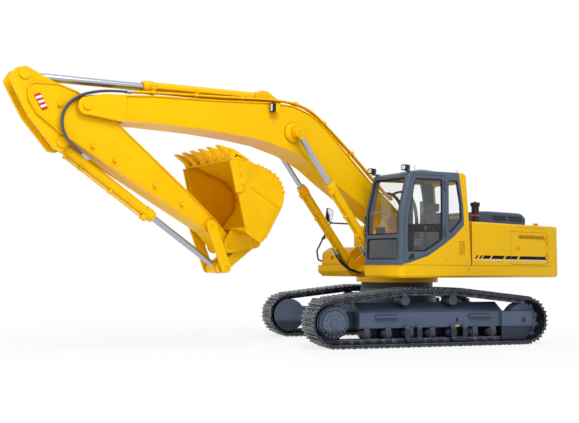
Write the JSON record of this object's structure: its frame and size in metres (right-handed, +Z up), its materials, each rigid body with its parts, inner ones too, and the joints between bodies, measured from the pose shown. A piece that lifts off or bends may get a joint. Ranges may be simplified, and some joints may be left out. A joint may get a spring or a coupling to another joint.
{
  "type": "crawler excavator",
  "caption": "Crawler excavator with slewing house, cab, two-piece digging linkage of boom and arm, bucket, and hydraulic cylinders on a tracked undercarriage.",
  "frame": {"origin": "centre of the bounding box on the ground", "axes": "+X forward towards the bucket, +Y to the cab side, +Z up; the undercarriage stands turned 20 degrees to the right under the upper structure"},
  "size_m": [11.1145, 4.5908, 4.44],
  "materials": {
    "yellow_paint": "gloss machine enamel",
    "undercarriage_grey": "semi-gloss dark grey enamel",
    "track_steel": "bare dark steel, worn on the grousers",
    "dark_steel": "dark steel",
    "hood_grey": "satin dark grey enamel",
    "cab_grey": "satin grey enamel",
    "glass": "clear tinted safety glass",
    "seat_fabric": "dark woven cloth",
    "black_plastic": "moulded black plastic",
    "chrome_rod": "hard chrome"
  },
  "bodies": {
    "undercarriage": {"car_body": "undercarriage_grey", "slew_ring": "dark_steel", "track_left": "track_steel", "track_right": "track_steel", "track_frame_left": "undercarriage_grey", "track_frame_right": "undercarriage_grey", "sprocket_left": "undercarriage_grey", "sprocket_right": "undercarriage_grey", "idler_left": "undercarriage_grey", "idler_right": "undercarriage_grey", "rollers_left": "dark_steel", "rollers_right": "dark_steel"},
    "house": {"revolving_frame": "yellow_paint", "counterweight": "yellow_paint", "body_left": "yellow_paint", "body_right": "yellow_paint", "engine_block": "dark_steel", "middle_body": "yellow_paint", "precleaner": "black_plastic", "exhaust": "dark_steel", "cab_shell": "cab_grey", "cab_rear": "yellow_paint", "cab_glass": "glass", "operator_seat": "seat_fabric", "console": "black_plastic", "fuel_tank": "yellow_paint", "tool_box": "yellow_paint", "handrails": "yellow_paint", "mirror": "black_plastic"},
    "cab_door": {"cab_door": "cab_grey", "door_glass": "glass"},
    "side_door_left": {"side_door_left": "yellow_paint"},
    "side_door_right": {"side_door_right": "yellow_paint"},
    "engine_hood": {"engine_hood": "hood_grey"},
    "boom": {"boom": "yellow_paint"},
    "boom_cylinder_barrel": {"boom_cylinder_barrel": "yellow_paint"},
    "boom_cylinder_rod": {"boom_cylinder_rod": "chrome_rod"},
    "arm": {"arm": "yellow_paint"},
    "arm_cylinder_barrel": {"arm_cylinder_barrel": "yellow_paint"},
    "arm_cylinder_rod": {"arm_cylinder_rod": "chrome_rod"},
    "bucket_cylinder_barrel": {"bucket_cylinder_barrel": "yellow_paint"},
    "bucket_cylinder_rod": {"bucket_cylinder_rod": "chrome_rod"},
    "bucket_rocker": {"bucket_rocker": "yellow_paint"},
    "bucket_link": {"bucket_link": "yellow_paint"},
    "bucket": {"bucket": "yellow_paint", "bucket_pin": "dark_steel"}
  },
  "joints": [
    {"name": "slew", "type": "hinge", "parent": "undercarriage", "child": "house", "pos_m": [-2.16, 0, 1.226], "axis": [0, 0, 1], "continuous": true},
    {"name": "cab_door_hinge", "type": "hinge", "parent": "house", "child": "cab_door", "pos_m": [-1.947, 1.467, 2.4], "axis": [0, 0, 1], "range_deg": [0, 160]},
    {"name": "side_door_left_hinge", "type": "hinge", "parent": "house", "child": "side_door_left", "pos_m": [-5.097, 1.467, 1.85], "axis": [0, 0, 1], "range_deg": [0, 110]},
    {"name": "side_door_right_hinge", "type": "hinge", "parent": "house", "child": "side_door_right", "pos_m": [-5.097, -1.467, 1.85], "axis": [0, 0, -1], "range_deg": [0, 110]},
    {"name": "engine_hood_hinge", "type": "hinge", "parent": "house", "child": "engine_hood", "pos_m": [-3.783, 0, 2.356], "axis": [0, 1, 0], "range_deg": [0, 60]},
    {"name": "boom_hinge", "type": "hinge", "parent": "house", "child": "boom", "pos_m": [-2.11, 0, 2.1], "axis": [0, -1, 0], "range_deg": [-50, 36]},
    {"name": "arm_hinge", "type": "hinge", "parent": "boom", "child": "arm", "pos_m": [4.475, 0, 3.721], "axis": [0, 1, 0], "range_deg": [-115, 4]},
    {"name": "bucket_hinge", "type": "hinge", "parent": "arm", "child": "bucket", "pos_m": [1.959, 0, 1.749], "axis": [0, 1, 0], "range_deg": [-150, 5]},
    {"name": "boom_cylinder_swing", "type": "hinge", "parent": "house", "child": "boom_cylinder_barrel", "pos_m": [-1.26, 0, 1.47], "axis": [0, -1, 0], "range_deg": [-54.19, 39.3]},
    {"name": "boom_cylinder_stroke", "type": "slide", "parent": "boom_cylinder_barrel", "child": "boom_cylinder_rod", "axis": [0.6484, 0, 0.7613], "range_m": [-0.8169, 0.5909]},
    {"name": "arm_cylinder_swing", "type": "hinge", "parent": "boom", "child": "arm_cylinder_barrel", "pos_m": [1.231, 0, 4.334], "axis": [0, 1, 0], "range_deg": [-11.86, 1.38]},
    {"name": "arm_cylinder_stroke", "type": "slide", "parent": "arm_cylinder_barrel", "child": "arm_cylinder_rod", "axis": [0.9981, 0, -0.0614], "range_m": [-1.5505, 0.0636]},
    {"name": "bucket_cylinder_swing", "type": "hinge", "parent": "arm", "child": "bucket_cylinder_barrel", "pos_m": [4.79, 0, 3.167], "axis": [0, 1, 0], "range_deg": [-8.68, 1.26]},
    {"name": "bucket_cylinder_stroke", "type": "slide", "parent": "bucket_cylinder_barrel", "child": "bucket_cylinder_rod", "axis": [-0.8376, 0, -0.5463], "range_m": [-0.909, 0.04]},
    {"name": "rocker_hinge", "type": "hinge", "parent": "arm", "child": "bucket_rocker", "pos_m": [2.335, 0, 2.06], "axis": [0, 1, 0], "range_deg": [-82.69, 3.72]},
    {"name": "link_hinge", "type": "hinge", "parent": "bucket", "child": "bucket_link", "pos_m": [1.452, 0, 1.816], "axis": [0, 1, 0], "range_deg": [-3.58, 78.53]}
  ],
  "couplings": [
    {"joint": "boom_cylinder_swing", "follows": "boom_hinge", "ratio": 1.0638},
    {"joint": "boom_cylinder_stroke", "follows": "boom_hinge", "m_per_rad": 0.9246},
    {"joint": "arm_cylinder_swing", "follows": "arm_hinge", "ratio": 0.0944},
    {"joint": "arm_cylinder_stroke", "follows": "arm_hinge", "m_per_rad": 0.7675},
    {"joint": "bucket_cylinder_swing", "follows": "bucket_hinge", "ratio": 0.0512},
    {"joint": "bucket_cylinder_stroke", "follows": "bucket_hinge", "m_per_rad": 0.3434},
    {"joint": "rocker_hinge", "follows": "bucket_hinge", "ratio": 0.5446},
    {"joint": "link_hinge", "follows": "bucket_hinge", "ratio": -0.5169}
  ]
}
